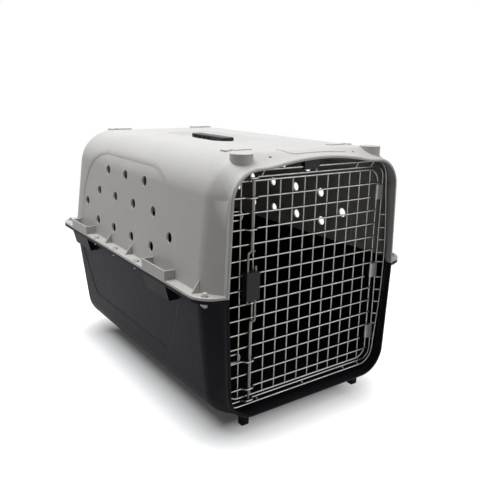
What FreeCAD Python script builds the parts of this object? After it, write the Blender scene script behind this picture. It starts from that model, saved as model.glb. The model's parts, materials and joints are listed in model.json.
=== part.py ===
import FreeCAD, Part
import math
import os
import re
from types import SimpleNamespace

# Pet carrier: two moulded half shells bolted along a flange, a wire door with
# a pair of sliding latch rods, and a lifting handle in the roof.
# Origin: middle of the footprint on the ground.  X across, Y front to back, Z up.

os.makedirs("parts", exist_ok=True)
doc = FreeCAD.newDocument("pet_carrier")
sheet = doc.addObject("Spreadsheet::Sheet", "Sizes")
Vector = FreeCAD.Vector
Placement = FreeCAD.Placement
Rotation = FreeCAD.Rotation
acrossAxis = Vector(1, 0, 0)
backAxis = Vector(0, 1, 0)
upAxis = Vector(0, 0, 1)

# Driving sizes in millimetres, angles in degrees, counts and shares as plain numbers.
sizeRows = [
    # whole carrier
    ("halfLength", 338),
    ("seamHeight", 256.5),
    ("roofHeight", 482),
    ("floorHeight", 22),
    ("wall", 4),
    ("overrun", 12),
    # mouth lip
    ("lipHalfWidth", 195.5),
    ("lipShoulderHeight", 464),
    ("lipSillHeight", 27),
    ("lipWall", 5),
    ("lipDepth", 10),
    ("lipLean", 2.3),
    ("lipRound", 2),
    ("lipCornerRadius", 54),
    ("archRise", 12.5),
    ("archHalfWidth", 97),
    # body behind the lip
    ("bodyHalfWidth", 221.4),
    ("bodyLean", 5.3),
    ("roofCornerRadius", 75),
    ("floorCornerRadius", 54),
    ("neckDepth", 36),
    ("neckRound", 9),
    ("neckRoundShare", 0.78),
    ("neckMiddleShare", 0.95),
    ("rearRoofRadius", 54),
    ("rearFloorRadius", 48),
    # bolted flange
    ("flangeReach", 19),
    ("upperFlange", 4),
    ("lowerFlange", 6),
    ("flangeFrontSetback", 2),
    ("flangeCornerSetback", 13),
    ("flangeFrontRadius", 38),
    ("flangeRearRadius", 40),
    # side pattern
    ("sideCentre", 19.4),
    ("archPanelDepth", 2),
    ("archPanelHalfLength", 219),
    ("archPanelHeight", 441),
    ("archPanelRadius", 121),
    ("lowPanelDepth", 1.4),
    ("lowPanelHalfLength", 259),
    ("lowPanelFootHalfLength", 182.5),
    ("lowPanelHeight", 104),
    ("lowPanelRadius", 35),
    ("rimReach", 6),
    ("rimDropShare", 0.85),
    ("boltSpacing", 101),
    ("boltInset", 8),
    ("pocketSpacing", 186),
    ("pocketLength", 90),
    ("pocketRise", 19),
    ("pocketDrop", 32),
    ("pocketTaper", 8),
    ("ribWall", 2.6),
    ("gussetSpacing", 51),
    ("gussetRise", 21),
    ("gussetReach", 14),
    ("frontGussetPlace", 291),
    # air holes
    ("ventRadius", 10),
    ("ventPitch", 86.4),
    ("ventTopHeight", 409.6),
    ("ventMiddleHeight", 359.6),
    ("ventEndHeight", 325.4),
    ("ventEndPlace", 197),
    ("ventLowHeight", 293.8),
    # roof details
    ("lugRadius", 19),
    ("lugPlace", 146.6),
    ("lugSetback", 37),
    ("lugDrop", 34),
    ("lugRise", 1.5),
    ("strapHoleRadius", 2.6),
    ("strapHolePlace", 94.5),
    ("strapHoleSetback", 29),
    ("padRise", 1.3),
    ("padLongLength", 36),
    ("padShortLength", 13),
    ("padWidth", 16),
    ("padSlot", 5),
    ("padFrontPlace", 92),
    ("padFrontSetback", 92),
    ("padRearPlace", 84),
    ("padRearInset", 64),
    # feet
    ("footPlace", 136.5),
    ("footWidth", 16),
    ("footLength", 14),
    ("footRound", 2.5),
    ("footSetback", 12),
    # bolts and nuts
    ("boltRadius", 3),
    ("boltHoleClearance", 0.3),
    ("headRadius", 5.5),
    ("headRise", 2),
    ("socketRadius", 2.4),
    ("socketDepth", 1.4),
    ("pegRadius", 3.6),
    ("pegRise", 5),
    ("cornerBoltAcross", 222.5),
    ("cornerBoltSetback", 23),
    ("washerRadius", 6),
    ("washerThickness", 1.2),
    ("nutHubRadius", 5),
    ("nutHeight", 4),
    ("wingHubRadius", 4.2),
    ("wingHubHeight", 8),
    ("wingSpan", 14),
    ("wingThickness", 4.4),
    ("wingRise", 4.5),
    ("seat", 0.02),
    # door
    ("doorSetback", 33.5),
    ("columnPitch", 27),
    ("rowPitch", 26.4),
    ("topRowHeight", 438.3),
    ("doorBottomHeight", 50),
    ("doorHalfWidth", 171),
    ("doorCornerRadius", 24),
    ("meshRadius", 1.45),
    ("frameRadius", 1.75),
    ("bendRadius", 6),
    ("guideHalfWidth", 6),
    ("guideSlope", 7),
    # surround
    ("hingePlace", 185.2),
    ("keeperTopHeight", 444.4),
    ("keeperBottomHeight", 43.2),
    ("keeperLift", 3),
    ("innerCornerRadius", 22),
    ("outerSetback", 8),
    ("outerTopHeight", 456.3),
    ("outerBottomHeight", 38.5),
    ("outerTopHalfWidth", 181.7),
    ("outerBottomHalfWidth", 181),
    ("outerCornerRadius", 32),
    ("outerSideRadius", 1000),
    ("surroundGap", 0.3),
    ("loopTopHeight", 381.8),
    ("loopBottomHeight", 127.9),
    ("loopWidth", 14.9),
    ("loopReach", 142.3),
    ("loopRoundShare", 0.45),
    # hinge clips
    ("clipHeight", 28),
    ("clipWall", 1),
    ("clipClearance", 0.1),
    ("clipOffset", 8.5),
    # latch
    ("rodRadius", 2.25),
    ("rodPlace", 129.6),
    ("rodGap", 0.3),
    ("upperRodPlace", 140.4),
    ("lowerRodPlace", 124),
    ("upperRodBend", 4.8),
    ("lowerRodBend", 3.8),
    ("fingerSetback", 5.3),
    ("upperFingerHeight", 321),
    ("lowerFingerHeight", 197),
    ("upperRodTail", 230.6),
    ("lowerRodTail", 297),
    ("latchTravel", 7.5),
    ("blockHalfWidth", 14.1),
    ("blockPlace", 131.7),
    ("blockBottomHeight", 237.6),
    ("blockTopHeight", 287.6),
    ("blockDepth", 13.4),
    ("blockRound", 2),
    ("rodRunningGap", 0.08),
    ("springRadius", 3.9),
    ("springWire", 1),
    ("springLength", 18),
    ("springGap", 0.3),
    ("collarThickness", 2),
    ("pocketFloor", 8),
    ("backPlateThickness", 2),
    ("latchScrewRadius", 1.6),
    ("latchScrewSpacing", 12),
    ("latchScrewHeight", 262),
    # handle
    ("handleLength", 132),
    ("handleWidth", 28),
    ("handleThickness", 8.5),
    ("handleRise", 0.5),
    ("handleRound", 2),
    ("handleCorner", 5),
    ("endBlockLength", 14.5),
    ("endGrooveWidth", 1.6),
    ("endGrooveDepth", 0.8),
    ("recessLength", 224),
    ("recessWidth", 88),
    ("recessDepth", 9.5),
    ("recessSlope", 18),
    ("recessCorner", 16),
    ("recessRound", 12),
    ("legSpacing", 100),
    ("legRadius", 5),
    ("legGap", 0.3),
    ("liftTravel", 25),
    ("stopRadius", 9),
    ("stopThickness", 2),
    ("scallopRadius", 8),
    ("scallopDepth", 4),
    ("scallopPitch", 18),
    ("scallopOffset", 18.5),
    ("scallopCover", 2.4),
    # tab that holds the surround
    ("tabPlace", -9.1),
    ("tabHalfWidth", 16.8),
    ("tabDepth", 9),
    ("tabDrop", 3.4),
    ("tabRound", 4.5),
    ("tabGap", 0.3),
]
for row, (alias, number) in enumerate(sizeRows, start=1):
    sheet.set(f"A{row}", alias)
    sheet.set(f"B{row}", str(number))
    sheet.setAlias(f"B{row}", alias)
doc.recompute()
size = SimpleNamespace(**{alias: float(sheet.get(alias)) for alias, number in sizeRows})
nodes = []


def bind(item, prop, text):
    # Ties a property to the sheet; bare words in the text that name a size get its prefix.
    def prefixed(word):
        return f"Sizes.{word[0]}" if hasattr(size, word[0]) else word[0]
    item.setExpression(prop, re.sub(r"[A-Za-z]\w*", prefixed, text))


def place(item, across, back, up, direction=upAxis):
    item.Placement = Placement(Vector(), Rotation(upAxis, direction))
    bind(item, "Placement.Base.x", across)
    bind(item, "Placement.Base.y", back)
    bind(item, "Placement.Base.z", up)
    return item


def cylinder(name, radius, height, across, back, up, direction=upAxis):
    item = doc.addObject("Part::Cylinder", name)
    bind(item, "Radius", radius)
    bind(item, "Height", height)
    return place(item, across, back, up, direction)


def box(name, width, depth, height, across, back, up):
    # across and back name the middle, up names the underside
    item = doc.addObject("Part::Box", name)
    bind(item, "Length", width)
    bind(item, "Width", depth)
    bind(item, "Height", height)
    return place(item, f"{across} - ({width}) / 2", f"{back} - ({depth}) / 2", up)


def cut(name, base, *tools):
    for count, tool in enumerate(tools):
        item = doc.addObject("Part::Cut", f"{name}{count}")
        item.Base = base
        item.Tool = tool
        base = item
    return base


def fuse(name, *items):
    item = doc.addObject("Part::MultiFuse", name)
    item.Shapes = list(items)
    return item


def group(name, items):
    item = doc.addObject("Part::Compound", name)
    item.Links = list(items)
    return item


def feature(name, shape):
    item = doc.addObject("Part::Feature", name)
    item.Shape = shape
    item.Placement = Placement()
    return item


def node(item, label):
    item.Label = label
    nodes.append(item)
    return item


def bentPath(points, radii, closed=False):
    # Straight runs joined by tangent arcs, one radius for each point that turns.
    count = len(points)
    corners = []
    for index, point in enumerate(points):
        if not closed and index in (0, count - 1):
            corners.append((point, None, point))
            continue
        before = (points[index - 1] - point).normalize()
        after = (points[(index + 1) % count] - point).normalize()
        half = before.getAngle(after) / 2
        reach = radii[index] / math.tan(half)
        sink = radii[index] / math.sin(half) - radii[index]
        middle = point + (before + after).normalize() * sink
        corners.append((point + before * reach, middle, point + after * reach))
    edges = []
    for index, (start, middle, end) in enumerate(corners):
        if middle is not None:
            edges.append(Part.Arc(start, middle, end).toShape())
        if closed or index < count - 1:
            edges.append(Part.LineSegment(end, corners[(index + 1) % count][0]).toShape())
    return Part.Wire(edges)


def bentWire(name, points, radii, radius, closed=False):
    # A round wire of one thickness swept along a bent path.
    path = feature(name + "Path", bentPath(points, radii, closed))
    first = path.Shape.Edges[0]
    start = first.FirstParameter
    ring = doc.addObject("Part::Circle", name + "Ring")
    bind(ring, "Radius", radius)
    ring.Placement = Placement(first.valueAt(start), Rotation(upAxis, first.tangentAt(start)))
    sweep = doc.addObject("Part::Sweep", name)
    sweep.Sections = [ring]
    sweep.Spine = (path, [f"Edge{number + 1}" for number in range(len(path.Shape.Edges))])
    sweep.Solid = True
    sweep.Frenet = False
    return sweep


def slab(points, radii, thickness):
    # A rounded outline thickened along a vector.
    return Part.Face(bentPath(points, radii, closed=True)).extrude(thickness)


# Heights and places that several pieces share
lipFront = -size.halfLength
lipBack = lipFront + size.lipDepth
bodyFront = lipBack + size.neckDepth
rearWall = size.halfLength - size.flangeReach
doorPlane = lipFront + size.doorSetback
doorPlaneText = "(doorSetback - halfLength)"


def section(rising, back, share, inset, tilt=0, overrun=0):
    # One cross outline of a half shell, share 0 at the lip and 1 on the body.
    def blend(lipSize, bodySize):
        return lipSize + share * (bodySize - lipSize)
    lean = math.radians(blend(size.lipLean, size.bodyLean))
    half = blend(size.lipHalfWidth, size.bodyHalfWidth)
    if rising > 0:
        cornerRadius = blend(size.lipCornerRadius, size.roofCornerRadius)
        crown = blend(size.lipShoulderHeight, size.roofHeight)
        rise = blend(size.archRise, 0)
    else:
        cornerRadius = blend(size.lipCornerRadius, size.floorCornerRadius)
        crown = blend(size.lipSillHeight, size.floorHeight)
        rise = 0
    tall = abs(crown - size.seamHeight)
    centreUp = tall - cornerRadius
    centreAcross = half - (cornerRadius + centreUp * math.sin(lean)) / math.cos(lean)
    reach = cornerRadius - inset
    middle = (lean + math.pi / 2) / 2

    def spot(across, up):
        turned = math.radians(tilt)
        return Vector(across, back - up * math.sin(turned), size.seamHeight + rising * up * math.cos(turned))

    def mirrored(point):
        return Vector(-point.x, point.y, point.z)
    foot = spot(half - inset / math.cos(lean) + overrun * math.tan(lean), -overrun)
    sideTop = spot(centreAcross + reach * math.cos(lean), centreUp + reach * math.sin(lean))
    cornerMiddle = spot(centreAcross + reach * math.cos(middle), centreUp + reach * math.sin(middle))
    shoulder = spot(centreAcross, tall - inset)
    right = [Part.LineSegment(foot, sideTop), Part.Arc(sideTop, cornerMiddle, shoulder)]
    left = [Part.Arc(mirrored(shoulder), mirrored(cornerMiddle), mirrored(sideTop)),
            Part.LineSegment(mirrored(sideTop), mirrored(foot))]
    if rising < 0:
        top = [Part.LineSegment(shoulder, mirrored(shoulder))]
    else:
        run = centreAcross - size.archHalfWidth
        shoulderRise = rise * run / centreAcross
        turn = spot(size.archHalfWidth, tall - inset + shoulderRise)
        if rise > 0:
            shoulderRadius = (run ** 2 + shoulderRise ** 2) / (2 * shoulderRise)
            part = shoulderRadius - math.sqrt(shoulderRadius ** 2 - (run / 2) ** 2)
            bend = spot(centreAcross - run / 2, tall - inset + part)
            peak = spot(0, tall - inset + rise)
            top = [Part.Arc(shoulder, bend, turn), Part.Arc(turn, peak, mirrored(turn)),
                   Part.Arc(mirrored(turn), mirrored(bend), mirrored(shoulder))]
        else:
            top = [Part.LineSegment(shoulder, turn), Part.LineSegment(turn, mirrored(turn)),
                   Part.LineSegment(mirrored(turn), mirrored(shoulder))]
    curves = right + top + left + [Part.LineSegment(mirrored(foot), foot)]
    return Part.Wire([curve.toShape() for curve in curves])


def shellForm(rising, inset, mouthReach=0, overrun=0):
    # The solid inside one half shell's skin, drawn in by an inset all round.
    mouthInset = inset + (size.lipWall - size.wall if inset >= size.wall else 0)
    rearRadius = size.rearRoofRadius if rising > 0 else size.rearFloorRadius
    rearStart = rearWall - rearRadius

    def at(back, share, tilt=0, more=0):
        drawn = mouthInset + share * (inset - mouthInset) + more
        return section(rising, back, share, drawn, tilt, overrun)
    if mouthReach > 0:
        nose = [at(lipFront - mouthReach, 0)]
    else:
        nose = [at(lipFront, 0, 0, size.lipRound), at(lipFront + size.lipRound, 0)]
    lip = Part.makeLoft(nose + [at(lipBack, 0)], True, True)
    neck = Part.makeLoft([at(lipBack, 0), at(bodyFront - size.neckRound, size.neckRoundShare)], True, True)
    turn = [at(bodyFront - size.neckRound, size.neckRoundShare), at(bodyFront, size.neckMiddleShare),
            at(bodyFront + size.neckRound, 1)]
    front = Part.makeLoft(turn, True, False)
    body = Part.makeLoft([at(bodyFront + size.neckRound, 1), at(rearStart, 1, size.bodyLean)], True, True)
    swing = rearRadius - inset
    steps = 4
    rings = []
    for step in range(steps + 1):
        turned = math.pi / 2 * step / steps
        back = rearStart + swing * math.sin(turned)
        rings.append(at(back, 1, size.bodyLean, swing * (1 - math.cos(turned))))
    rear = Part.makeLoft(rings, True, False)
    return lip.multiFuse([neck, front, body, rear])


def panelled(name, rising, base, panel, inset, grown):
    # Sinks the side panel of a form: outside the panel's prism nothing changes.
    core = feature(name + "Core", shellForm(rising, inset, size.overrun, size.overrun))
    prism = feature(name + "Prism", panel(grown))
    return cut(name, base, cut(name + "Skin", prism, core))


def softRim(name, rising, base, panel, depth):
    # Slopes the rim of both sunk panels, where their walls meet the outer skin.
    doc.recompute()
    skin = Part.Compound(shellForm(rising, 0).Faces)
    walls = Part.Compound(panel(0).Faces)
    rim = []
    for number, edge in enumerate(base.Shape.Edges, start=1):
        middle = edge.valueAt((edge.FirstParameter + edge.LastParameter) / 2)
        spot = Part.Vertex(middle)
        sideways = abs(middle.x) > size.bodyHalfWidth / 2 and abs(middle.z - size.seamHeight) > size.seat
        if sideways and spot.distToShape(walls)[0] < size.seat and spot.distToShape(skin)[0] < size.seat:
            rim.append((number, size.rimReach, depth * size.rimDropShare))
    item = doc.addObject("Part::Chamfer", name)
    item.Base = base
    item.Edges = rim
    return item


def archPanel(grown):
    half = size.archPanelHalfLength + grown
    top = size.archPanelHeight + grown
    foot = size.seamHeight - size.overrun
    side = -size.bodyHalfWidth - size.overrun
    corners = [(-half, foot), (half, foot), (half, top), (-half, top)]
    points = [Vector(side, size.sideCentre + back, up) for back, up in corners]
    radii = [size.wall, size.wall, size.archPanelRadius, size.archPanelRadius]
    return slab(points, radii, Vector(-2 * side, 0, 0))


def lowPanel(grown):
    foot = size.lowPanelHeight - grown
    top = size.seamHeight + size.overrun
    long = size.lowPanelHalfLength + grown
    short = size.lowPanelFootHalfLength + grown
    side = -size.bodyHalfWidth - size.overrun
    corners = [(-short, foot), (short, foot), (long, top), (-long, top)]
    points = [Vector(side, size.sideCentre + back, up) for back, up in corners]
    radii = [size.lowPanelRadius, size.lowPanelRadius, size.wall, size.wall]
    return slab(points, radii, Vector(-2 * side, 0, 0))


def flangePlate(thickness):
    edge = size.bodyHalfWidth + size.flangeReach
    front = lipFront + size.flangeFrontSetback
    corner = lipFront + size.flangeCornerSetback
    outline = [(-size.lipHalfWidth, front), (size.lipHalfWidth, front), (edge, corner),
               (edge, size.halfLength), (-edge, size.halfLength), (-edge, corner)]
    points = [Vector(across, back, size.seamHeight) for across, back in outline]
    radii = [size.wall, size.wall, size.flangeFrontRadius, size.flangeRearRadius, size.flangeRearRadius,
             size.flangeFrontRadius]
    return slab(points, radii, Vector(0, 0, thickness))


def gusset(name, side, back, rise):
    # A triangular rib between the wall and the flange; rise below zero hangs under the flange.
    inner = size.bodyHalfWidth - size.wall / 2
    outer = size.bodyHalfWidth + size.gussetReach
    base = size.seamHeight + (size.upperFlange / 2 if rise > 0 else -size.lowerFlange / 2)
    front = back - size.ribWall / 2
    points = [Vector(side * inner, front, base), Vector(side * outer, front, base),
              Vector(side * inner, front, base + rise)]
    return feature(name, Part.Face(Part.makePolygon(points + points[:1])).extrude(Vector(0, size.ribWall, 0)))


def gripPocket(name, side, back, rising):
    # A box with an outer wall and two end walls, open away from the flange.
    outer = size.bodyHalfWidth + size.flangeReach
    inner = size.bodyHalfWidth - size.flangeReach
    tall = size.pocketRise if rising > 0 else size.pocketDrop
    taper = 0 if rising > 0 else size.pocketTaper
    base = size.seamHeight + (size.upperFlange / 2 if rising > 0 else -size.lowerFlange / 2)

    def block(drawn, start):
        front = back - size.pocketLength / 2 + drawn
        low = base + rising * start
        high = base + rising * (tall + start)
        points = [Vector(side * inner, front, low), Vector(side * (outer - drawn), front, low),
                  Vector(side * (outer - taper - drawn), front, high), Vector(side * inner, front, high)]
        face = Part.Face(Part.makePolygon(points + points[:1]))
        return face.extrude(Vector(0, size.pocketLength - 2 * drawn, 0))
    clear = size.upperFlange if rising > 0 else size.lowerFlange
    return feature(name, block(0, 0).cut(block(size.ribWall, clear / 2)))


def boltPlaces():
    # Middle of each bolt hole: three along each side and one at each corner.
    across = size.bodyHalfWidth + size.flangeReach - size.boltInset
    sides = [(side * across, size.sideCentre + step * size.boltSpacing)
             for side in (-1, 1) for step in (-1, 0, 1)]
    corners = [(side * size.cornerBoltAcross, end * (size.halfLength - size.cornerBoltSetback))
               for side in (-1, 1) for end in (-1, 1)]
    return sides, corners


sideBolts, cornerBolts = boltPlaces()


def boltHoles(name):
    holes = []
    for across, back in sideBolts + cornerBolts:
        holes.append(cylinder(f"{name}Hole", "boltRadius + boltHoleClearance", "2 * overrun",
                              repr(across), repr(back), "seamHeight - overrun"))
    return group(name, holes)


# Rows of air holes hold three or four, spaced in vent pitches from the middle
threeVentShares = (-1, 0, 1)
fourVentShares = (-1.5, -0.5, 0.5, 1.5)


def sideVents():
    rows = [(size.ventTopHeight, threeVentShares), (size.ventMiddleHeight, fourVentShares),
            (size.ventLowHeight, fourVentShares)]
    spots = [(size.sideCentre + share * size.ventPitch, up) for up, shares in rows for share in shares]
    spots += [(size.sideCentre + side * size.ventEndPlace, size.ventEndHeight) for side in (-1, 1)]
    return [cylinder("sideVent", "ventRadius", "2 * (bodyHalfWidth + overrun)", "-bodyHalfWidth - overrun",
                     repr(back), repr(up), acrossAxis) for back, up in spots]


def rearVents():
    rows = [(size.ventMiddleHeight, fourVentShares), (size.ventLowHeight, threeVentShares)]
    spots = [(share * size.ventPitch, up) for up, shares in rows for share in shares]
    return [cylinder("rearVent", "ventRadius", "4 * overrun", repr(across),
                     "halfLength - flangeReach - 3 * overrun", repr(up), backAxis) for across, up in spots]


def roundedLoop(halfWidth, halfLength, up, radius):
    # A rounded rectangle about the handle's middle.
    corners = [Vector(across * halfWidth, size.sideCentre + back * halfLength, up)
               for across, back in ((-1, -1), (1, -1), (1, 1), (-1, 1))]
    return bentPath(corners, [radius] * 4, closed=True)


def recessForm(drop, top):
    # The solid that fills the hollow round the handle, lowered by a drop and ending at a height.
    floor = size.roofHeight - size.recessDepth - drop
    spread = size.recessSlope * (top - floor) / size.recessDepth
    halfWidth = size.recessWidth / 2
    halfLength = size.recessLength / 2
    low = roundedLoop(halfWidth, halfLength, floor, size.recessCorner)
    high = roundedLoop(halfWidth + spread, halfLength + spread, top, size.recessCorner + spread)
    form = Part.makeLoft([low, high], True, True)
    rims = [edge for edge in form.Edges if edge.BoundBox.ZMax < floor + size.seat]
    return form.makeFillet(size.recessRound, rims)


def roofFittings(side):
    # The round lug over the neck, and the two pairs of strap pads, on one side.
    fittings = [cylinder("lug", "lugRadius", "lugDrop + lugRise", f"{side} * lugPlace",
                         "lugSetback - halfLength", "roofHeight - lugDrop")]
    for where, setback in (("padFrontPlace", "padFrontSetback - halfLength"),
                           ("padRearPlace", "halfLength - flangeReach - padRearInset")):
        for length, middle in (("padLongLength", f"{where} + padLongLength / 2"),
                               ("padShortLength", f"{where} + padLongLength + padSlot + padShortLength / 2")):
            fittings.append(box("pad", length, "padWidth", "padRise + wall / 2", f"{side} * ({middle})",
                                setback, "roofHeight - wall / 2"))
    return fittings


def upperShell():
    outer = feature("roofOuter", shellForm(1, 0))
    outer = panelled("roofPanel", 1, outer, archPanel, size.archPanelDepth, 0)
    outer = softRim("roofRim", 1, outer, archPanel, size.archPanelDepth)
    inner = feature("roofInner", shellForm(1, size.wall, size.overrun, size.overrun))
    inner = panelled("roofPanelInner", 1, inner, archPanel, size.archPanelDepth + size.wall, size.wall)
    added = [feature("upperFlangePlate", flangePlate(size.upperFlange))]
    for side in (-1, 1):
        for end in (-1, 1):
            gussetPlace = size.sideCentre + end * size.gussetSpacing
            added.append(gripPocket("upperPocket", side, size.sideCentre + end * size.pocketSpacing, 1))
            added.append(gusset("upperGusset", side, gussetPlace, size.gussetRise))
        added.append(gusset("frontGusset", side, -size.frontGussetPlace, size.gussetRise))
        added += roofFittings(side)
    solid = cut("roofShell", fuse("roofBlank", outer, *added), inner)
    liner = feature("recessLiner", recessForm(size.wall, size.roofHeight - size.wall / 2))
    solid = fuse("roofWithRecess", solid, liner)
    tools = [feature("recess", recessForm(0, size.roofHeight + size.overrun)), boltHoles("upperBoltHoles")]
    tools += sideVents() + rearVents()
    for side in (-1, 1):
        tools.append(cylinder("strapHole", "strapHoleRadius", "4 * overrun", f"{side} * strapHolePlace",
                              "strapHoleSetback - halfLength", "lipShoulderHeight - overrun"))
        tools.append(cylinder("legHole", "legRadius + legGap", "2 * overrun", "0",
                              f"sideCentre + {side} * legSpacing / 2", "roofHeight - recessDepth - overrun"))
    node(cut("upper_shell_", solid, group("roofTools", tools)), "upper_shell")


def foot(side, middle):
    # A round-cornered foot under the floor.
    half = size.footWidth / 2
    deep = size.footLength / 2
    corners = [Vector(side * size.footPlace + across * half, middle + back * deep, 0)
               for across, back in ((-1, -1), (1, -1), (1, 1), (-1, 1))]
    rise = Vector(0, 0, size.lipSillHeight + size.wall / 2)
    return feature("foot", slab(corners, [size.footRound] * 4, rise))


def lowerShell():
    outer = feature("tubOuter", shellForm(-1, 0))
    outer = panelled("tubPanel", -1, outer, lowPanel, size.lowPanelDepth, 0)
    outer = softRim("tubRim", -1, outer, lowPanel, size.lowPanelDepth)
    inner = feature("tubInner", shellForm(-1, size.wall, size.overrun, size.overrun))
    inner = panelled("tubPanelInner", -1, inner, lowPanel, size.lowPanelDepth + size.wall, size.wall)
    added = [feature("lowerFlangePlate", flangePlate(-size.lowerFlange))]
    footReach = size.footSetback + size.footLength / 2
    for side in (-1, 1):
        for end in (-1, 1):
            gussetPlace = size.sideCentre + end * size.gussetSpacing
            added.append(gripPocket("lowerPocket", side, size.sideCentre + end * size.pocketSpacing, -1))
            added.append(gusset("lowerGusset", side, gussetPlace, -size.gussetRise))
        added.append(foot(side, lipBack + footReach))
        added.append(foot(side, rearWall - size.rearFloorRadius - footReach))
    solid = cut("tubShell", fuse("tubBlank", outer, *added), inner)
    node(cut("lower_shell_", solid, boltHoles("lowerBoltHoles")), "lower_shell")


def sideFastener(x, y):
    # A low bolt with a round socket, and the ring nut under the flange.
    shank = cylinder("sideShank", "boltRadius", "upperFlange + lowerFlange + nutHeight + 2 * seat", x, y,
                     "seamHeight - lowerFlange - nutHeight - seat")
    head = cylinder("sideHead", "headRadius", "headRise", x, y, "seamHeight + upperFlange + seat")
    socket = cylinder("sideSocket", "socketRadius", "socketDepth + overrun", x, y,
                      "seamHeight + upperFlange + seat + headRise - socketDepth")
    bolt = cut("sideBolt", fuse("sideBoltBlank", shank, head), socket)
    nut = cylinder("sideNut", "nutHubRadius", "nutHeight - seat", x, y,
                   "seamHeight - lowerFlange - nutHeight")
    bore = cylinder("sideNutBore", "boltRadius + seat", "3 * nutHeight", x, y,
                    "seamHeight - lowerFlange - 2 * nutHeight")
    return bolt, cut("sideNutRing", nut, bore)


def cornerFastener(x, y):
    # A peg-headed bolt on a washer, and the small wing nut under the flange.
    washerBase = "seamHeight + upperFlange + seat"
    nutTop = "seamHeight - lowerFlange - seat"
    washer = cylinder("cornerWasher", "washerRadius", "washerThickness", x, y, washerBase)
    hole = cylinder("cornerWasherHole", "boltRadius + seat", "overrun", x, y, "seamHeight")
    shank = cylinder("cornerShank", "boltRadius",
                     "upperFlange + washerThickness + lowerFlange + wingHubHeight + 3 * seat", x, y,
                     f"{nutTop} - wingHubHeight")
    peg = cylinder("cornerPeg", "pegRadius", "pegRise", x, y, f"{washerBase} + washerThickness + seat")
    hub = cylinder("wingHub", "wingHubRadius", "wingHubHeight", x, y, f"{nutTop} - wingHubHeight")
    bar = box("wingBar", "wingSpan", "wingThickness", "wingRise", x, y, f"{nutTop} - wingRise")
    bore = cylinder("wingBore", "boltRadius + seat", "3 * wingHubHeight", x, y,
                    f"{nutTop} - 2 * wingHubHeight")
    wing = cut("wingNut", fuse("wingBlank", hub, bar), bore)
    return fuse("cornerBolt", shank, peg), cut("washerRing", washer, hole), wing


def flangeFasteners():
    bolts, nuts = zip(*[sideFastener(repr(across), repr(back)) for across, back in sideBolts])
    pegs, washers, wings = zip(*[cornerFastener(repr(across), repr(back)) for across, back in cornerBolts])
    node(group("flangeBolts", bolts), "flange_bolts")
    node(group("flangeNuts", nuts), "flange_nuts")
    node(group("cornerBoltsGroup", pegs), "corner_bolts")
    node(group("cornerWashers", washers), "corner_washers")
    node(group("wingNutsGroup", wings), "wing_nuts")


def rowHeight(row):
    return size.topRowHeight - row * size.rowPitch


# Depths of the layers of wire, counted forward from the door plane
rowDepth = size.frameRadius + size.meshRadius
columnDepth = rowDepth - 2 * size.meshRadius
rodDepth = rowDepth + size.meshRadius + size.rodGap + size.rodRadius
guideDepth = rodDepth + size.rodRadius + size.rodGap + size.meshRadius
keeperDepth = rodDepth + size.rodRadius + size.rodGap + size.frameRadius
fingerDepth = rodDepth + size.fingerSetback


def forward(depth):
    return doorPlane - depth


def steppedRun(start, end, up, depth, top, lift=0):
    # A wire along X that steps forward round a latch rod and comes back.
    # The step's corners sit either side of the rod; top is the depth it reaches, lift how far it rises.
    left = -size.rodPlace - size.guideHalfWidth
    right = -size.rodPlace + size.guideHalfWidth
    base = forward(depth)
    return [Vector(start, base, up), Vector(left - size.guideSlope, base, up),
            Vector(left, forward(top), up + lift), Vector(right, forward(top), up + lift),
            Vector(right + size.guideSlope, base, up), Vector(end, base, up)]


def doorFrame():
    low, high, half = size.doorBottomHeight, size.topRowHeight, size.doorHalfWidth
    points = [Vector(-half, doorPlane, low), Vector(half, doorPlane, low), Vector(half, doorPlane, high),
              Vector(-half, doorPlane, high)]
    frame = bentWire("doorFrame", points, [size.doorCornerRadius] * 4, "frameRadius", closed=True)
    node(frame, "door_frame_wire")


# The door's mesh: rows counted from the frame's top wire, columns placed from the middle
guidedRows = (1, 3, 12, 14)
clippedRows = (2, 8, 13)
rowCount = 15
columnCount = 12
lastColumnShare = (columnCount - 1) / 2


def doorColumns():
    wires = []
    tall = "topRowHeight - doorBottomHeight - 2 * (frameRadius + seat)"
    for column in range(columnCount):
        across = f"{column - lastColumnShare} * columnPitch"
        wires.append(cylinder("columnWire", "meshRadius", tall, across, repr(forward(columnDepth)),
                              "doorBottomHeight + frameRadius + seat"))
    node(group("doorColumns", wires), "door_column_wires")


def doorRows():
    wires = []
    for row in range(1, rowCount):
        up = rowHeight(row)
        half = size.doorHalfWidth + size.frameRadius
        end = lastColumnShare * size.columnPitch + size.meshRadius if row in clippedRows else half
        if row in guidedRows:
            points = steppedRun(-half, end, up, rowDepth, guideDepth)
            wires.append(bentWire("guideRow", points, [size.bendRadius / 2] * 6, "meshRadius"))
        else:
            wires.append(cylinder("rowWire", "meshRadius", repr(half + end), repr(-half),
                                  repr(forward(rowDepth)), repr(up), acrossAxis))
    node(group("doorRows", wires), "door_row_wires")


def surroundInner():
    low, high, half = size.keeperBottomHeight, size.keeperTopHeight, size.hingePlace
    bottom = steppedRun(-half, half, low, 0, keeperDepth, size.keeperLift)
    top = steppedRun(-half, half, high, 0, keeperDepth)
    points = bottom + top[::-1]
    step, corner = size.bendRadius / 2, size.innerCornerRadius
    radii = ([corner] + [step] * 4 + [corner]) * 2
    node(bentWire("surroundInner", points, radii, "frameRadius", closed=True), "surround_inner_wire")


def neckHalfWidth(back):
    share = (back - lipBack) / (bodyFront - size.neckRound - lipBack) * size.neckRoundShare
    inset = size.lipWall + share * (size.wall - size.lipWall)
    lean = math.radians(size.lipLean + share * (size.bodyLean - size.lipLean))
    return size.lipHalfWidth + share * (size.bodyHalfWidth - size.lipHalfWidth) - inset / math.cos(lean)


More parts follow.
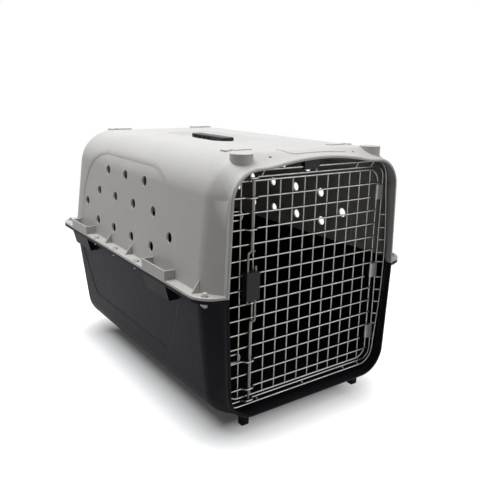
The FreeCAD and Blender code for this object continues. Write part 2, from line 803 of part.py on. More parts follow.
def surroundOuterPoints():
    back = forward(size.outerSetback)
    turn = math.atan2(size.bodyHalfWidth - size.lipHalfWidth, size.neckDepth)
    side = neckHalfWidth(back) - (size.frameRadius + size.surroundGap) / math.cos(turn)
    topSlope = (side - size.outerTopHalfWidth) / (size.outerTopHeight - size.seamHeight)
    lowSlope = (side - size.outerBottomHalfWidth) / (size.seamHeight - size.outerBottomHeight)
    bulge = size.outerSideRadius * (1 / math.cos((topSlope + lowSlope) / 2) - 1)
    lowHalf = size.outerBottomHalfWidth
    topHalf = size.outerTopHalfWidth
    spots = [(-lowHalf, size.outerBottomHeight), (lowHalf, size.outerBottomHeight),
             (side + bulge, size.seamHeight), (topHalf, size.outerTopHeight),
             (-topHalf, size.outerTopHeight), (-side - bulge, size.seamHeight)]
    radii = [size.outerCornerRadius, size.outerCornerRadius, size.outerSideRadius] * 2
    return [Vector(across, back, up) for across, up in spots], radii


def surroundOuter():
    points, radii = surroundOuterPoints()
    node(bentWire("surroundOuter", points, radii, "frameRadius", closed=True), "surround_outer_wire")


def outerSideAcross(up):
    # Half width of the outer wire at a height on its straight or rounded side.
    points, radii = surroundOuterPoints()
    path = bentPath(points, radii, closed=True)
    level = Part.makeLine(Vector(0, points[0].y, up), Vector(2 * size.bodyHalfWidth, points[0].y, up))
    return path.distToShape(level)[1][0][0].x


def crossWire(name, start, end):
    # A short straight wire that butts against the two wires it joins.
    run = end - start
    item = doc.addObject("Part::Cylinder", name)
    bind(item, "Radius", "meshRadius")
    bind(item, "Height", f"{run.Length} - 2 * (frameRadius + seat)")
    trim = run / run.Length * (size.frameRadius + size.seat)
    item.Placement = Placement(start + trim, Rotation(upAxis, run))
    return item


# Cross wires of the surround: rows down from the top row, and columns from the middle
sideCrossShares = (3.4, 4.4, 5.35, 6.35, 7.08, 8.3, 9.3, 10.27, 11.25, 12.05, 13.3)
topCrossShares = (-4, 0.35, 4, 5.5)
bottomCrossShares = (-4, 0, 4, 5.5)


def surroundCrossWires():
    wires = []
    outerBack = forward(size.outerSetback)
    for share in sideCrossShares:
        up = size.topRowHeight - share * size.rowPitch
        outer = outerSideAcross(up)
        for side in (-1, 1):
            wires.append(crossWire("sideCross", Vector(side * size.hingePlace, doorPlane, up),
                                   Vector(side * outer, outerBack, up)))
    for shares, inner, outer in ((topCrossShares, size.keeperTopHeight, size.outerTopHeight),
                                 (bottomCrossShares, size.keeperBottomHeight, size.outerBottomHeight)):
        for share in shares:
            across = share * size.columnPitch
            wires.append(crossWire("endCross", Vector(across, doorPlane, inner),
                                   Vector(across, outerBack, outer)))
    node(group("surroundCross", wires), "surround_cross_wires")


def latchLoops():
    # Hairpins behind the door that stop it from swinging inwards.
    back = doorPlane + size.frameRadius + size.meshRadius + size.surroundGap
    loops = []
    for up in (size.loopTopHeight, size.loopBottomHeight):
        low = up - size.loopWidth / 2
        high = up + size.loopWidth / 2
        start = -size.hingePlace - size.frameRadius
        end = -size.loopReach
        points = [Vector(start, back, low), Vector(end, back, low), Vector(end, back, high),
                  Vector(start, back, high)]
        loops.append(bentWire("stopLoop", points, [size.loopWidth * size.loopRoundShare] * 4, "meshRadius"))
    node(group("stopLoops", loops), "door_stop_loops")


def hingeClips():
    outer = size.frameRadius + size.clipClearance + size.clipWall
    for label, row in (("hinge_clip_top", 2), ("hinge_clip_middle", 8), ("hinge_clip_bottom", 13)):
        low = rowHeight(row) + size.clipOffset - size.clipHeight / 2
        front = [Vector(across, doorPlane - outer, low) for across in (size.doorHalfWidth, size.hingePlace)]
        rear = [Vector(across, doorPlane + outer, low) for across in (size.hingePlace, size.doorHalfWidth)]
        hingeEnd = Vector(size.hingePlace + outer, doorPlane, low)
        doorEnd = Vector(size.doorHalfWidth - outer, doorPlane, low)
        curves = [Part.LineSegment(front[0], front[1]), Part.Arc(front[1], hingeEnd, rear[0]),
                  Part.LineSegment(rear[0], rear[1]), Part.Arc(rear[1], doorEnd, front[0])]
        outline = Part.Wire([curve.toShape() for curve in curves])
        strap = feature(label + "Strap", Part.Face(outline).extrude(Vector(0, 0, size.clipHeight)))
        start = repr(low - size.clipWall)
        pin = cylinder(label + "Pin", "frameRadius + clipClearance", "2 * clipHeight", "hingePlace",
                       doorPlaneText, start)
        wire = cylinder(label + "Wire", "frameRadius + seat", "2 * clipHeight", "doorHalfWidth",
                        doorPlaneText, start)
        node(cut(label + "Cut", strap, pin, wire), label)


def latchRods():
    long = forward(rodDepth)
    finger = forward(fingerDepth)
    upperTip = size.keeperTopHeight - size.frameRadius - size.rodGap
    lowerTip = size.keeperBottomHeight + size.keeperLift + size.frameRadius + size.rodGap
    upper = [Vector(-size.rodPlace, long, upperTip), Vector(-size.rodPlace, long, size.upperFingerHeight),
             Vector(-size.upperRodPlace, finger, size.upperFingerHeight),
             Vector(-size.upperRodPlace, finger, size.upperRodTail)]
    lower = [Vector(-size.rodPlace, long, lowerTip), Vector(-size.rodPlace, long, size.lowerFingerHeight),
             Vector(-size.lowerRodPlace, finger, size.lowerFingerHeight),
             Vector(-size.lowerRodPlace, finger, size.lowerRodTail)]
    upperCollar = cylinder("upperCollar", "springRadius", "collarThickness", "-upperRodPlace", repr(finger),
                           "blockBottomHeight + pocketFloor + springLength + springGap")
    lowerCollar = cylinder("lowerCollar", "springRadius", "collarThickness", "-lowerRodPlace", repr(finger),
                           "blockTopHeight - pocketFloor - springLength - springGap - collarThickness")
    upperRod = bentWire("upperRod", upper, [0, size.upperRodBend, size.upperRodBend, 0], "rodRadius")
    lowerRod = bentWire("lowerRod", lower, [0, size.lowerRodBend, size.lowerRodBend, 0], "rodRadius")
    node(fuse("upperRodWhole", upperRod, upperCollar), "upper_latch_rod")
    node(fuse("lowerRodWhole", lowerRod, lowerCollar), "lower_latch_rod")


blockBack = forward(rowDepth + size.meshRadius + size.seat)
plateFront = forward(columnDepth - size.meshRadius - size.seat)
fingerText = repr(forward(fingerDepth))
springRoomText = "(springLength + collarThickness + latchTravel + 2 * springGap)"


def latchSpring(which, roomFloor, start):
    # One spring round a rod's tail, and the room bored for it.
    place = f"-{which}RodPlace"
    room = cylinder(which + "SpringRoom", "springRadius + springGap", springRoomText, place, fingerText,
                    roomFloor)
    coil = cylinder(which + "Coil", "springRadius", "springLength", place, fingerText, start)
    core = cylinder(which + "CoilCore", "springRadius - springWire", "2 * springLength", place, fingerText,
                    f"{start} - springLength / 2")
    node(cut(which + "CoilRing", coil, core), which + "_latch_spring")
    return room


def latchBlock():
    front = blockBack - size.blockDepth
    low, high = size.blockBottomHeight, size.blockTopHeight
    blank = slab([Vector(-size.blockPlace + across * size.blockHalfWidth, where, low)
                  for across, where in ((-1, front), (1, front), (1, blockBack), (-1, blockBack))],
                 [size.blockRound] * 4, Vector(0, 0, high - low))
    tools = []
    for where in ("upperRodPlace", "lowerRodPlace"):
        tools.append(cylinder("rodBore", "rodRadius + rodRunningGap",
                              "blockTopHeight - blockBottomHeight + 2 * overrun", f"-{where}", fingerText,
                              "blockBottomHeight - overrun"))
    for side in (-1, 1):
        tools.append(cylinder("latchScrewBore", "latchScrewRadius + seat", "blockDepth / 2", "-blockPlace",
                              repr(blockBack - size.blockDepth / 2),
                              f"latchScrewHeight + {side} * latchScrewSpacing", backAxis))
    tools.append(latchSpring("upper", "blockBottomHeight + pocketFloor", "blockBottomHeight + pocketFloor"))
    tools.append(latchSpring("lower", f"blockTopHeight - pocketFloor - {springRoomText}",
                             "blockTopHeight - pocketFloor - springLength"))
    node(cut("latchBlock", feature("latchBlank", blank), group("latchTools", tools)), "latch_block")


def latchPlate():
    # The plate behind the mesh and the two screws that clamp it to the block.
    plate = box("backPlate", "2 * blockHalfWidth + 2 * meshRadius", "backPlateThickness",
                "blockTopHeight - blockBottomHeight - overrun", "-blockPlace",
                f"{plateFront} + backPlateThickness / 2", "blockBottomHeight + overrun / 2")
    start = blockBack - size.blockDepth / 2 + size.seat
    end = plateFront + size.backPlateThickness + size.seat
    holes = []
    screws = []
    for side in (-1, 1):
        up = f"latchScrewHeight + {side} * latchScrewSpacing"
        holes.append(cylinder("plateHole", "latchScrewRadius + seat", "2 * overrun", "-blockPlace",
                              repr(blockBack), up, backAxis))
        shank = cylinder("latchScrewShank", "latchScrewRadius", repr(end - start), "-blockPlace", repr(start),
                         up, backAxis)
        head = cylinder("latchScrewHead", "2 * latchScrewRadius", "backPlateThickness", "-blockPlace",
                        repr(end), up, backAxis)
        screws.append(fuse("latchScrew", shank, head))
    node(cut("latchBackPlate", plate, *holes), "latch_back_plate")
    node(group("latchScrewsGroup", screws), "latch_screws")


# Finger hollows in the handle's sides, in scallop pitches from their middle
scallopShares = (-1.5, -0.5, 0.5, 1.5)


def handleBar():
    # The bar with its finger hollows, and a groove that sets off its front end.
    low = size.roofHeight + size.handleRise - size.handleThickness
    outline = roundedLoop(size.handleWidth / 2, size.handleLength / 2, low, size.handleCorner)
    bar = Part.Face(outline).extrude(Vector(0, 0, size.handleThickness))
    rims = [edge for edge in bar.Edges if edge.BoundBox.ZMax - edge.BoundBox.ZMin < size.seat]
    tools = [box("endGroove", "2 * handleWidth", "endGrooveWidth", "overrun", "0",
                 "sideCentre - handleLength / 2 + endBlockLength",
                 "roofHeight + handleRise - endGrooveDepth")]
    for side in (-1, 1):
        for share in scallopShares:
            tools.append(cylinder("scallop", "scallopRadius", "handleThickness",
                                  f"{side} * (handleWidth / 2 + scallopRadius - scallopDepth)",
                                  f"sideCentre + scallopOffset + {share} * scallopPitch",
                                  "roofHeight + handleRise - handleThickness - scallopCover"))
    return cut("handleScalloped", feature("handleBar", bar.makeFillet(size.handleRound, rims)), *tools)


def carryHandle():
    # The bar on two legs that slide in the roof, each with a stop washer screwed on below.
    foot = "roofHeight - recessDepth - wall - liftTravel - legGap"
    legs, bores, stops, screws = [], [], [], []
    for end in (-1, 1):
        y = f"sideCentre + {end} * legSpacing / 2"
        legs.append(cylinder("leg", "legRadius",
                             "liftTravel + legGap + wall + recessDepth + handleRise - handleThickness / 2",
                             "0", y, foot))
        bores.append(cylinder("legBore", "latchScrewRadius + seat", "overrun", "0", y, f"{foot} - seat"))
        washer = cylinder("stopDisc", "stopRadius", "stopThickness", "0", y, f"{foot} - stopThickness - seat")
        hole = cylinder("stopHole", "latchScrewRadius + seat", "3 * stopThickness", "0", y,
                        f"{foot} - 2 * stopThickness")
        stops.append(cut("stopRing", washer, hole))
        shank = cylinder("stopScrewShank", "latchScrewRadius", "overrun + stopThickness - seat", "0", y,
                         f"{foot} - stopThickness - 2 * seat")
        head = cylinder("stopScrewHead", "2 * latchScrewRadius", "stopThickness", "0", y,
                        f"{foot} - 2 * stopThickness - 2 * seat")
        screws.append(fuse("stopScrew", shank, head))
    node(cut("carryHandle", fuse("handleWhole", handleBar(), *legs), *bores), "carry_handle")
    node(group("handleStops", stops), "handle_stop_washers")
    node(group("handleScrews", screws), "handle_stop_screws")


def surroundTab():
    # A small round-cornered block under the mouth's arch that snaps over the surround's outer wire.
    back = forward(size.outerSetback)
    share = (back - lipBack) / (bodyFront - size.neckRound - lipBack) * size.neckRoundShare
    slope = share * (size.roofHeight - size.lipShoulderHeight)
    crown = size.lipShoulderHeight + slope + size.archRise * (1 - share)
    ceiling = crown - size.lipWall - size.tabGap
    low = size.outerTopHeight - size.frameRadius - size.tabDrop
    left = size.tabPlace - size.tabHalfWidth
    right = size.tabPlace + size.tabHalfWidth
    front = back - size.tabDepth / 2
    corners = [Vector(left, front, low), Vector(right, front, low), Vector(right, front, ceiling),
               Vector(left, front, ceiling)]
    radii = [size.tabRound, size.tabRound, size.tabGap, size.tabGap]
    blank = feature("tabBlank", slab(corners, radii, Vector(0, size.tabDepth, 0)))
    core = feature("tabCeiling", shellForm(1, size.wall + size.tabGap))
    trimmed = doc.addObject("Part::Common", "tabTrimmed")
    trimmed.Base = blank
    trimmed.Tool = core
    groove = cylinder("tabGroove", "frameRadius + seat", "4 * tabHalfWidth", "-2 * tabHalfWidth", repr(back),
                      "outerTopHeight", acrossAxis)
    slot = box("tabSlot", "4 * tabHalfWidth", "2 * meshRadius + 4 * seat", "2 * tabDrop", "0", repr(back),
               "outerTopHeight - 2 * tabDrop")
    node(cut("surroundTab", trimmed, groove, slot), "surround_top_tab")


def build():
    upperShell()
    lowerShell()
    flangeFasteners()
    doorFrame()
    doorColumns()
    doorRows()
    surroundInner()
    surroundOuter()
    surroundCrossWires()
    latchLoops()
    hingeClips()
    latchRods()
    latchBlock()
    latchPlate()
    carryHandle()
    surroundTab()


def export():
    doc.recompute()
    for item in doc.Objects:
        if "Invalid" in item.State or "Error" in item.State:
            raise RuntimeError(f"{item.Name} did not build: {item.State}")
    for item in nodes:
        shape = item.Shape
        if shape.isNull() or not shape.isValid():
            raise RuntimeError(f"{item.Label} has no valid shape")
        print(item.Label, len(shape.Solids), round(shape.Volume / 1000, 2))
        shape.exportStep(f"parts/{item.Label}.step")


build()
export()
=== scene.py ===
import json
import math
import bmesh
import bpy
from mathutils import Matrix, Vector
from mathutils.bvhtree import BVHTree


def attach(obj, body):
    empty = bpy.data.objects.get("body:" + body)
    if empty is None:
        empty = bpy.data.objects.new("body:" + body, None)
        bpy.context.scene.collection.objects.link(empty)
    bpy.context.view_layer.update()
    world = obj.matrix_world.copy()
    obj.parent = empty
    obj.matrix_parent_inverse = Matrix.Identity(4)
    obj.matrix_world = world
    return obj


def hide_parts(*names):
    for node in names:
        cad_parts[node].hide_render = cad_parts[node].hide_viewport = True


# Looks of the pet carrier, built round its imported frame: moulded shells, wire door, latch and handle.
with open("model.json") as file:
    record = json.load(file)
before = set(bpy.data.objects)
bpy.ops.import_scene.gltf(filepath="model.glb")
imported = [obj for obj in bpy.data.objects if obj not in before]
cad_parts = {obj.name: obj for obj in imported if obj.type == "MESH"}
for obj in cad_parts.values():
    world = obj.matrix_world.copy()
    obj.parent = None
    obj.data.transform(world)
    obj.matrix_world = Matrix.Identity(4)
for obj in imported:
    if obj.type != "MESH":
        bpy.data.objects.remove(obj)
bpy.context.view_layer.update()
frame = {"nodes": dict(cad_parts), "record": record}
nodes = frame["nodes"]
scene = bpy.context.scene


def report(text):
    print("scene:", text)


# Shader nodes

class Socket:
    # An output of a node; sums and products on it add the Math nodes.
    def __init__(self, web, link):
        self.web = web
        self.link = link

    def maths(self, operation, other):
        return self.web.make("ShaderNodeMath", {"operation": operation}, {0: self, 1: other})

    def __add__(self, other):
        return self.maths("ADD", other)

    def __mul__(self, other):
        return self.maths("MULTIPLY", other)

    __radd__ = __add__
    __rmul__ = __mul__


class NodeWeb:
    # The nodes of a material or of the world; make adds any kind of node to them.
    def __init__(self, tree):
        self.tree = tree

    def fill(self, socket, value):
        if isinstance(value, Socket):
            self.tree.links.new(value.link, socket)
        else:
            socket.default_value = value

    def make(self, kind, settings, values, output=0):
        made = self.tree.nodes.new(kind)
        for key, value in settings.items():
            setattr(made, key, value)
        for key, value in values.items():
            self.fill(made.inputs[key], value)
        return Socket(self, made.outputs[output])

    def ray(self, kind):
        return self.make("ShaderNodeLightPath", {}, {}, kind)

    def place(self):
        return self.make("ShaderNodeTexCoord", {}, {}, "Object")

    def vectors(self, operation, *values, output=0):
        return self.make("ShaderNodeVectorMath", {"operation": operation}, dict(enumerate(values)), output)

    def ramp(self, factor, low, high):
        # Each end is a pair: the factor's value, and what comes out there.
        values = {"Value": factor}
        for end, (reading, result) in (("Min", low), ("Max", high)):
            values[f"From {end}"] = reading
            values[f"To {end}"] = result
        return self.make("ShaderNodeMapRange", {"clamp": True}, values)

    def blend(self, factor, first, second):
        # On the Mix node, the inputs 6 and 7 and the output 2 are the ones for colours.
        return self.make("ShaderNodeMix", {"data_type": "RGBA"}, {"Factor": factor, 6: first, 7: second}, 2)

    def noise(self, scale, detail, roughness=0.5, stretch=None):
        where = self.place()
        if stretch:
            where = self.make("ShaderNodeMapping", {}, {"Vector": where, "Scale": stretch})
        values = {"Vector": where, "Scale": scale, "Detail": detail, "Roughness": roughness}
        return self.make("ShaderNodeTexNoise", {}, values)

    def bump(self, height, distance, strength, under=None):
        values = {"Height": height, "Distance": distance, "Strength": strength}
        if under:
            values["Normal"] = under
        return self.make("ShaderNodeBump", {}, values)


class Finish(NodeWeb):
    # A material with one Principled shader; set fills one of its sockets.
    def __init__(self, name, **constants):
        self.material = bpy.data.materials.new(name)
        self.material.use_nodes = True
        super().__init__(self.material.node_tree)
        self.tree.nodes.clear()
        self.shader = self.tree.nodes.new("ShaderNodeBsdfPrincipled")
        output = self.tree.nodes.new("ShaderNodeOutputMaterial")
        self.tree.links.new(self.shader.outputs[0], output.inputs[0])
        for key, value in constants.items():
            self.set(key, value)

    def set(self, key, value):
        self.fill(self.shader.inputs[key.replace("_", " ")], value)


# Camera and studio

cameraSizes = {
    "place": (-0.6782, -1.0584, 0.5878),
    "azimuth": -35.087, "elevation": 14.944, "roll": 1.120,    # degrees
    "focal": 579.48, "frameWidth": 480,                        # pixels of the photo's frame
    "sensor": 36,
}


def addCamera(sizes):
    turn, rise, roll = (math.radians(sizes[key]) for key in ("azimuth", "elevation", "roll"))
    back = Vector((math.sin(turn) * math.cos(rise), -math.cos(turn) * math.cos(rise), math.sin(rise)))
    right = Vector((math.cos(turn), math.sin(turn), 0))
    up = back.cross(right)
    tiltedRight = right * math.cos(roll) + up * math.sin(roll)
    tiltedUp = up * math.cos(roll) - right * math.sin(roll)
    data = bpy.data.cameras.new("photoCamera")
    data.sensor_width = sizes["sensor"]
    data.lens = sizes["focal"] / sizes["frameWidth"] * sizes["sensor"]
    camera = bpy.data.objects.new("photoCamera", data)
    scene.collection.objects.link(camera)
    turned = Matrix((tiltedRight, tiltedUp, back)).transposed().to_4x4()
    camera.matrix_world = Matrix.Translation(sizes["place"]) @ turned
    scene.camera = camera


studioSizes = {"seen": 1.0, "ambient": 0.2}    # strengths of the world


def addStudio(sizes):
    # White to the camera and in reflections, and a dim even light on everything else.
    world = bpy.data.worlds.new("studioWorld")
    scene.world = world
    world.use_nodes = True
    background = world.node_tree.nodes["Background"]
    studio = NodeWeb(world.node_tree)
    seen = studio.ray("Is Camera Ray")
    for kind in ("Is Transmission Ray", "Is Glossy Ray"):
        seen = seen.maths("MAXIMUM", studio.ray(kind))
    studio.fill(background.inputs["Strength"], studio.ramp(seen, (0, sizes["ambient"]), (1, sizes["seen"])))
    studio.fill(background.inputs["Color"], (1, 1, 1, 1))


lampSizes = {
    "ceiling": {"place": (-0.3, 0.3, 2.5), "aim": (0, 0, 0.3), "size": (1.8, 1.8),
                "power": 83, "tint": (0.91, 0.95, 1)},
    "leftWindow": {"place": (-1.8, 1.5, 2.0), "aim": (0, 0, 0.3), "size": (1.2, 1.2),
                   "power": 9, "tint": (1, 1, 1)},
    "frontFill": {"place": (1.7, -2.4, 1.2), "aim": (0, 0, 0.25), "size": (1.8, 1.4),
                  "power": 24, "tint": (1, 1, 1)},
}


def addLamps(sizes):
    for name, lamp in sizes.items():
        data = bpy.data.lights.new(name, "AREA")
        data.shape = "RECTANGLE"
        data.size, data.size_y = lamp["size"]
        data.energy = lamp["power"]
        data.color = lamp["tint"]
        light = bpy.data.objects.new(name, data)
        scene.collection.objects.link(light)
        place = Vector(lamp["place"])
        turned = (Vector(lamp["aim"]) - place).to_track_quat("-Z", "Y")
        light.matrix_world = Matrix.Translation(place) @ turned.to_matrix().to_4x4()


floorSizes = {
    "half": 3.0, "tone": 0.3, "roughness": 0.9, "specular": 0.1,
    "solid": 0.9, "gone": 1.7,                          # where the floor starts and ends fading out
    "middle": (-0.04, -0.05), "foot": (0.125, 0.24),    # middle and half sizes of the painted shadow patch
    "dark": 0.035, "bright": 0.95, "reach": 0.105,      # glow in the painted shadow and past its soft rim
}


def addFloor(sizes):
    # A pale floor that takes the lamps' shadow and turns into the white round it. Round the carrier's foot,
    # its glow to the camera and in reflections is dark: a painted shadow.
    shape = bmesh.new()
    bmesh.ops.create_grid(shape, x_segments=1, y_segments=1, size=sizes["half"])
    mesh = bpy.data.meshes.new("studioFloor")
    shape.to_mesh(mesh)
    shape.free()
    floor = bpy.data.objects.new("studioFloor", mesh)
    scene.collection.objects.link(floor)
    finish = Finish("floorWhite", Base_Color=(*[sizes["tone"]] * 3, 1), Roughness=sizes["roughness"],
                    Specular_IOR_Level=sizes["specular"], Emission_Strength=1)
    # Painted shadow: the glow rises from dark on the patch round the foot to bright past its rim.
    offset = finish.vectors("ABSOLUTE", finish.vectors("SUBTRACT", finish.place(), (*sizes["middle"], 0)))
    past = finish.vectors("MAXIMUM", finish.vectors("SUBTRACT", offset, (*sizes["foot"], 0)), (0, 0, 0))
    away = finish.vectors("LENGTH", past, output=1)
    glowWithPaintedShadow = finish.ramp(away, (0, sizes["dark"]), (sizes["reach"], sizes["bright"]))
    seen = finish.ramp(finish.ray("Is Camera Ray") + finish.ray("Is Glossy Ray"), (0, 0), (1, 1))
    finish.set("Emission_Color", finish.blend(seen * glowWithPaintedShadow, (0, 0, 0, 1), (1, 1, 1, 1)))
    distance = finish.vectors("LENGTH", finish.place(), output=1)
    finish.set("Alpha", finish.ramp(distance, (sizes["solid"], 1), (sizes["gone"], 0)))
    mesh.materials.append(finish.material)


# Finishes

plasticSizes = {
    "clouds": {"scale": 5, "detail": 4, "roughness": 0.6},
    "streaks": {"scale": 14, "detail": 3, "stretch": (1, 1, 7)},
    "cloudShare": 0.7, "darkest": 0.3, "lightest": 0.7,    # noise levels of the two ends of the drift
    "driftDepth": 0.06,
    "rubbed": {"scale": 45, "detail": 5, "roughness": 0.65, "stretch": (1, 2.5, 1)},
    "smoothest": 0.3, "roughest": 0.75,                    # noise levels
    "waves": {"scale": 110, "detail": 2}, "waveHeight": 0.00018, "waveStrength": 0.35,
    "grain": {"scale": 1400, "detail": 1}, "grainHeight": 0.00006, "grainStrength": 0.5,
}
plasticLooks = {
    "upper_plastic": {"name": "lightGreyMoulding", "colour": (0.435, 0.416, 0.392), "roughness": 0.45,
                      "specular": 0.25, "rubbing": 0.075},
    "lower_plastic": {"name": "charcoalMoulding", "colour": (0.0100, 0.0103, 0.0135), "roughness": 0.48,
                      "specular": 0.05, "rubbing": 0.04},
    "black_plastic": {"name": "blackMoulding", "colour": (0.007, 0.007, 0.008), "roughness": 0.38,
                      "specular": 0.22, "rubbing": 0.075},
    "nut_plastic": {"name": "paleNutMoulding", "colour": (0.55, 0.54, 0.52), "roughness": 0.4,
                    "specular": 0.45, "rubbing": 0.075},
}


def mouldedPlastic(name, colour, roughness, specular, rubbing, sizes=plasticSizes):
    # Satin injection moulding: fine spark grain, slow waves of the mould, faint colour drift, rubbed streaks.
    finish = Finish(name, Specular_IOR_Level=specular)
    clouds = finish.noise(**sizes["clouds"])
    streaks = finish.noise(**sizes["streaks"])
    share = sizes["cloudShare"]
    drift = finish.ramp(clouds * share + streaks * (1 - share), (sizes["darkest"], 0), (sizes["lightest"], 1))
    dark, light = ([channel * (1 + change) for channel in colour] + [1]
                   for change in (-sizes["driftDepth"], sizes["driftDepth"]))
    finish.set("Base_Color", finish.blend(drift, dark, light))
    rubbed = finish.noise(**sizes["rubbed"])
    finish.set("Roughness", finish.ramp(rubbed, (sizes["smoothest"], roughness - rubbing),
                                        (sizes["roughest"], roughness + rubbing)))
    waves = finish.bump(finish.noise(**sizes["waves"]), sizes["waveHeight"], sizes["waveStrength"])
    finish.set("Normal", finish.bump(finish.noise(**sizes["grain"]), sizes["grainHeight"],
                                     sizes["grainStrength"], waves))
    return finish.material


wireSizes = {
    "clouds": {"scale": 60, "detail": 4, "roughness": 0.6},
    "spots": {"scale": 420, "detail": 2},
    "cloudShare": 0.65, "dullest": 0.34, "brightest": 0.66,    # noise levels of the two ends of the tone
    "dullShare": 0.72,
    "roughest": 0.3, "smoothest": 0.7,                         # noise levels
    "rougher": 0.1, "smoother": 0.05,
    "pitHeight": 0.00004, "pitStrength": 0.4,
}
wireLooks = {
    "zinc_wire": {"name": "brightZincWire", "colour": (0.35, 0.35, 0.34), "roughness": 0.3, "metal": 0.92},
    "bronze_rod": {"name": "dullZincRod", "colour": (0.17, 0.152, 0.134), "roughness": 0.34, "metal": 0.92},
    "bolt_steel": {"name": "boltZinc", "colour": (0.45, 0.45, 0.44), "roughness": 0.35, "metal": 0.92},
    "spring_steel": {"name": "springSteel", "colour": (0.4, 0.4, 0.4), "roughness": 0.3, "metal": 0.92},
    # The clip plate is a lighter, half-metal copy of the zinc: painted brightness that stands in for the
    # clips' bright reflection.
    "clip_plate_painted_bright": {"name": "clipZincPaintedBright", "colour": (0.62, 0.62, 0.61), "roughness": 0.5, "metal": 0.45},
}


def platedWire(name, colour, roughness, metal, sizes=wireSizes):
    # Zinc plate: a cloudy bloom, with small spots and pits in it.
    finish = Finish(name, Metallic=metal)
    clouds = finish.noise(**sizes["clouds"])
    spots = finish.noise(**sizes["spots"])
    share = sizes["cloudShare"]
    tone = finish.ramp(clouds * share + spots * (1 - share), (sizes["dullest"], 0), (sizes["brightest"], 1))
    dull = [channel * sizes["dullShare"] for channel in colour] + [1]
    finish.set("Base_Color", finish.blend(tone, dull, (*colour, 1)))
    finish.set("Roughness", finish.ramp(clouds, (sizes["roughest"], roughness + sizes["rougher"]),
                                        (sizes["smoothest"], roughness - sizes["smoother"])))
    finish.set("Normal", finish.bump(spots, sizes["pitHeight"], sizes["pitStrength"]))
    return finish.material


finishes = {slot: mouldedPlastic(**look) for slot, look in plasticLooks.items()}
finishes.update({slot: platedWire(**look) for slot, look in wireLooks.items()})
report("finishes made")


# Pieces

slots = {part["node"]: part["material_slot"] for part in frame["record"]["subparts"]}
bodies = {node: body for body, members in frame["record"]["behaviour"]["bodies"].items() for node in members}
smoothing = {"joined": 0.00001, "flat": 0.4, "sharp": 30}    # metres, and two angles in degrees
sharp = math.radians(smoothing["sharp"])


def addPiece(name, shape, slot, body, replaced=(), finish=None):
    # Turns a finished bmesh into an object that rides on a body, smooth but for its sharp edges.
    for edge in shape.edges:
        edge.smooth = len(edge.link_faces) == 2 and edge.calc_face_angle(0) < sharp
    for face in shape.faces:
        face.smooth = True
    mesh = bpy.data.meshes.new(name)
    shape.to_mesh(mesh)
    shape.free()
    mesh.materials.append(finishes[finish or slot])
    piece = bpy.data.objects.new(name, mesh)
    scene.collection.objects.link(piece)
    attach(piece, body)
    if replaced:
        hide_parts(*replaced)
    return piece


edgeRounds = {
    "upper_shell": 0.0012, "lower_shell": 0.0008, "carry_handle": 0.0005,
    "latch_block": 0.0016, "latch_back_plate": 0.0004, "surround_top_tab": 0.0006,
    "hinge_clip_top": 0.0002, "hinge_clip_middle": 0.0002, "hinge_clip_bottom": 0.0002,
    "corner_bolts": 0.0005, "wing_nuts": 0.0006, "corner_washers": 0.0002,
    "flange_bolts": 0.0004, "flange_nuts": 0.0003,
    "door_row_wires": 0.0003, "door_column_wires": 0.0003,
}
roundSteps = 2
coiled = ("upper_latch_spring", "lower_latch_spring")


def dressNode(node, width):
    # A solid's own shape with its triangles joined, smooth shading and softly rounded edges.
    shape = bmesh.new()
    shape.from_mesh(nodes[node].data)
    bmesh.ops.remove_doubles(shape, verts=shape.verts, dist=smoothing["joined"])
    bmesh.ops.dissolve_limit(shape, angle_limit=math.radians(smoothing["flat"]), verts=shape.verts,
                             edges=shape.edges, delimit=set())
    # Hinge clips take the lighter clip plate, whose colour paints in their bright reflection.
    finish = "clip_plate_painted_bright" if node.startswith("hinge_clip") else None
    piece = addPiece(node + "_dress", shape, slots[node], bodies[node], [node], finish)
    if width:
        bevel = piece.modifiers.new("edges", "BEVEL")
        bevel.width = width
        bevel.segments = roundSteps
        bevel.limit_method = "ANGLE"
        bevel.angle_limit = sharp
        weighted = piece.modifiers.new("shading", "WEIGHTED_NORMAL")
        weighted.keep_sharp = True


for node in nodes:
    if node not in coiled:
        dressNode(node, edgeRounds.get(node, 0))
report("pieces dressed")


coilSizes = {"wire": 0.0005, "turns": 7, "sides": 10, "stepsPerTurn": 24}    # wire is its radius


def springCoil(node, sizes):
    # The spring round a latch rod, wound inside the room that its plain sleeve takes.
    corners = [vertex.co for vertex in nodes[node].data.vertices]
    low = Vector([min(corner[axis] for corner in corners) for axis in range(3)])
    high = Vector([max(corner[axis] for corner in corners) for axis in range(3)])
    middle = (low + high) / 2
    radius = (high.x - low.x) / 2 - sizes["wire"]
    rise = high.z - low.z - 2 * sizes["wire"]
    steps = sizes["turns"] * sizes["stepsPerTurn"]
    start = Vector((middle.x + radius, middle.y, low.z + sizes["wire"]))
    turned = Matrix.Translation(start) @ Matrix.Rotation(math.pi / 2, 4, "X")
    shape = bmesh.new()
    bmesh.ops.create_circle(shape, cap_ends=True, segments=sizes["sides"], radius=sizes["wire"],
                            matrix=turned)
    bmesh.ops.spin(shape, geom=shape.verts[:] + shape.edges[:] + shape.faces[:], cent=middle, axis=(0, 0, 1),
                   dvec=(0, 0, rise / steps), angle=2 * math.pi * sizes["turns"], steps=steps)
    bmesh.ops.recalc_face_normals(shape, faces=shape.faces)
    addPiece(node + "_coil", shape, slots[node], bodies[node], [node])


for node in coiled:
    springCoil(node, coilSizes)
report("springs wound")


stubSizes = {
    "radius": 0.0017, "round": 0.0006, "roundSteps": 3, "sides": 20, "front": -0.3117,
    "upper": {"height": 0.321, "left": -0.1296, "right": -0.1222},
    "lower": {"height": 0.197, "left": -0.1240, "right": -0.1190},
    "decimals": 5,    # in which the corners of a rim agree, in metres
}


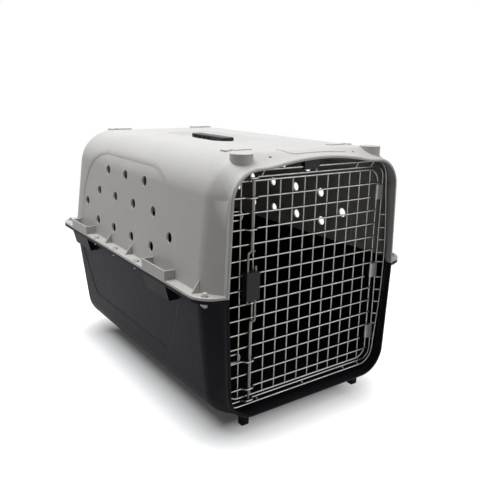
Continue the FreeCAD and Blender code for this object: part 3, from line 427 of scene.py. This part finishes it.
def rodStub(which, sizes):
    # The short end of a latch rod's bend, which stands out past the rod.
    spot = sizes[which]
    run = spot["right"] - spot["left"]
    middle = Vector((spot["left"] + run / 2, sizes["front"], spot["height"]))
    turned = Matrix.Translation(middle) @ Matrix.Rotation(math.pi / 2, 4, "Y")
    shape = bmesh.new()
    bmesh.ops.create_cone(shape, cap_ends=True, segments=sizes["sides"], radius1=sizes["radius"],
                          radius2=sizes["radius"], depth=run, matrix=turned)
    rims = [edge for edge in shape.edges
            if len({round(vertex.co.x, sizes["decimals"]) for vertex in edge.verts}) == 1]
    bmesh.ops.bevel(shape, geom=rims, offset=sizes["round"], segments=sizes["roundSteps"], profile=0.5,
                    affect="EDGES", material=-1)
    bmesh.ops.recalc_face_normals(shape, faces=shape.faces)
    addPiece(f"{which}_rod_stub", shape, "bronze_rod", f"{which}_rod")


for which in ("upper", "lower"):
    rodStub(which, stubSizes)
report("rod ends added")


plateSizes = {
    "left": -0.054, "right": 0.080, "front": -0.313, "back": -0.262, "corner": 0.014,
    "rise": 0.0013, "sunk": 0.0006, "round": 0.0011, "roundSteps": 3, "cells": (77, 21),
    "above": 0.6,    # height from which the plate is dropped on the shell
}


def barePlate(sizes):
    # The bare raised plate over the mouth: a round-cornered sheet laid on the shell's front slope.
    ground = bmesh.new()
    ground.from_mesh(nodes["upper_shell"].data)
    skin = BVHTree.FromBMesh(ground)
    ground.free()
    half = Vector((sizes["right"] - sizes["left"], sizes["back"] - sizes["front"])) / 2
    middle = Vector((sizes["right"] + sizes["left"], sizes["back"] + sizes["front"])) / 2
    straight = half - Vector((sizes["corner"], sizes["corner"]))
    shape = bmesh.new()
    bmesh.ops.create_grid(shape, x_segments=sizes["cells"][0], y_segments=sizes["cells"][1], size=1)
    for vertex in shape.verts:
        spot = Vector((vertex.co.x * half.x, vertex.co.y * half.y))
        past = Vector((max(0, abs(spot.x) - straight.x), max(0, abs(spot.y) - straight.y)))
        if past.x > 0 and past.y > 0:
            corner = straight + past * max(past) / past.length
            spot = Vector((math.copysign(corner.x, spot.x), math.copysign(corner.y, spot.y)))
        spot += middle
        hit = skin.ray_cast(Vector((spot.x, spot.y, sizes["above"])), Vector((0, 0, -1)))[0]
        vertex.co = hit - Vector((0, 0, sizes["sunk"]))
    raised = bmesh.ops.extrude_face_region(shape, geom=shape.faces[:])["geom"]
    top = [part for part in raised if isinstance(part, bmesh.types.BMVert)]
    bmesh.ops.translate(shape, verts=top, vec=(0, 0, sizes["rise"] + sizes["sunk"]))
    topFaces = {part for part in raised if isinstance(part, bmesh.types.BMFace)}
    rim = [edge for edge in shape.edges if len(set(edge.link_faces) & topFaces) == 1]
    bmesh.ops.bevel(shape, geom=rim, offset=sizes["round"], segments=sizes["roundSteps"], profile=0.5,
                    affect="EDGES", material=-1)
    bmesh.ops.recalc_face_normals(shape, faces=shape.faces)
    addPiece("bare_plate", shape, "upper_plastic", "root")


barePlate(plateSizes)
report("bare plate laid on the slope")

addCamera(cameraSizes)
addStudio(studioSizes)
addLamps(lampSizes)
addFloor(floorSizes)
scene.view_settings.view_transform = "Standard"
report("camera and studio set")
